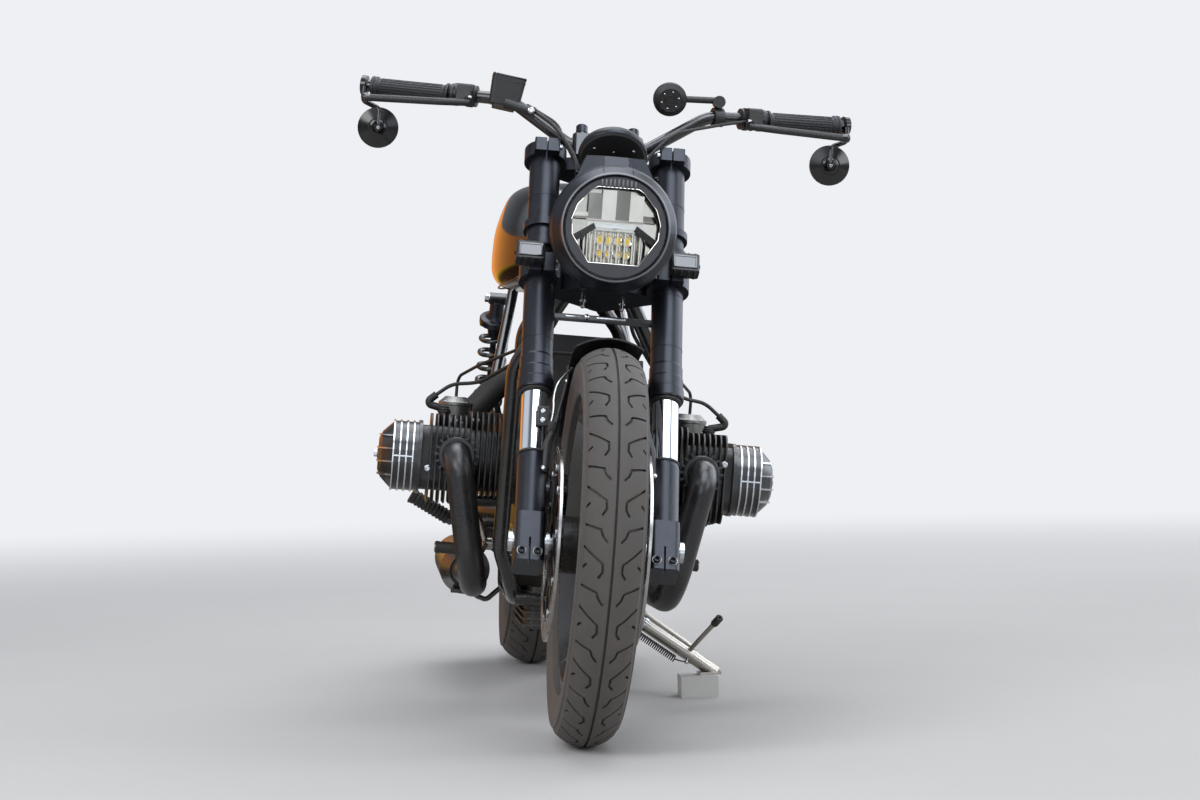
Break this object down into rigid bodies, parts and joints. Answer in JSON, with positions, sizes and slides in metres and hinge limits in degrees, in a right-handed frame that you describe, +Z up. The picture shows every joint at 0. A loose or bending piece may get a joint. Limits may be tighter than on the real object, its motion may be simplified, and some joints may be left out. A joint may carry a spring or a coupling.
{
  "type": "bobber motorcycle",
  "caption": "Flat-twin custom motorcycle leaning on its side stand, with upside-down fork, round headlamp, wide bar, low exhausts and single rear shock.",
  "frame": {"origin": "on the floor under the middle of the bounding box", "axes": "+Z up, -Y the way the machine faces, +X the rider's left, towards the side stand"},
  "size_m": [0.8917, 2.1078, 1.1539],
  "materials": {
    "frame_black": "gloss",
    "engine_black": "satin",
    "cover_black": "satin",
    "pipe_black": "satin",
    "tank_black": "gloss",
    "fork_black": "satin anodised",
    "fork_chrome": "polished",
    "stainless": "brushed",
    "disc_steel": "brushed",
    "wheel_black": "gloss",
    "tyre_rubber": "matt",
    "rubber_black": "matt",
    "plastic_black": "matt",
    "mirror_black": "gloss",
    "lamp_glass": "clear",
    "lamp_silver": "vacuum-metallised",
    "rib_metal": "machined",
    "lamp_red": "gloss",
    "carb_metal": "satin",
    "seat_leather": "satin",
    "block_grey": "speckled matt"
  },
  "bodies": {
    "chassis": {"main_frame": "frame_black", "rear_subframe": "frame_black", "engine_block": "engine_black", "sump": "engine_black", "gearbox": "engine_black", "cylinders": "engine_black", "plug_caps": "rubber_black", "valve_covers": "cover_black", "exhaust_nuts": "engine_black", "exhaust_headers": "pipe_black", "silencers": "pipe_black", "valve_cover_ribs": "rib_metal", "carburettors": "carb_metal", "air_battery_case": "plastic_black", "intake_ducts": "rubber_black", "engine_cables": "rubber_black", "foot_controls": "stainless", "swingarm": "frame_black", "final_drive": "engine_black", "rear_shock": "frame_black", "fuel_tank": "tank_black", "seat_pan": "plastic_black", "seat": "seat_leather", "tail_lamp": "lamp_red", "footpegs": "frame_black", "stand_lug": "frame_black", "stand_block": "block_grey"},
    "steering": {"front_axle": "stainless", "fork_bottoms": "fork_black", "fork_inner_tubes": "fork_chrome", "fork_outer_tubes": "fork_black", "upper_clamp": "fork_black", "lower_clamp": "fork_black", "front_calipers": "engine_black", "front_fender": "plastic_black", "headlight_shell": "fork_black", "headlight_lens": "lamp_glass", "lamp_mask": "plastic_black", "lamp_reflector": "lamp_silver", "lamp_cowl": "plastic_black", "lamp_brackets": "fork_black", "front_indicators": "plastic_black", "instrument": "plastic_black", "handlebar": "frame_black", "grips": "rubber_black", "bar_controls": "plastic_black", "brake_reservoir": "plastic_black", "mirrors": "mirror_black", "phone_mount": "plastic_black", "bar_cables": "rubber_black"},
    "front_wheel": {"front_wheel": "wheel_black", "front_tyre": "tyre_rubber", "front_discs": "disc_steel"},
    "rear_wheel": {"rear_wheel": "wheel_black", "rear_tyre": "tyre_rubber"},
    "side_stand": {"side_stand": "stainless"}
  },
  "joints": [
    {"name": "steering", "type": "hinge", "parent": "chassis", "child": "steering", "pos_m": [-0.02145, -0.39676, 0.84685], "axis": [0.0862, 0.4695, 0.8787], "range_deg": [-35, 35]},
    {"name": "front_wheel_spin", "type": "hinge", "parent": "steering", "child": "front_wheel", "pos_m": [-0.07273, -0.729, 0.32382], "axis": [0.9952, 0, -0.0976], "continuous": true},
    {"name": "rear_wheel_spin", "type": "hinge", "parent": "chassis", "child": "rear_wheel", "pos_m": [-0.07195, 0.721, 0.33178], "axis": [0.9952, 0, -0.0976], "continuous": true},
    {"name": "side_stand_swing", "type": "hinge", "parent": "chassis", "child": "side_stand", "pos_m": [0.03618, -0.03899, 0.16393], "axis": [0.5826, 0, 0.8128], "range_deg": [0, 90]}
  ]
}
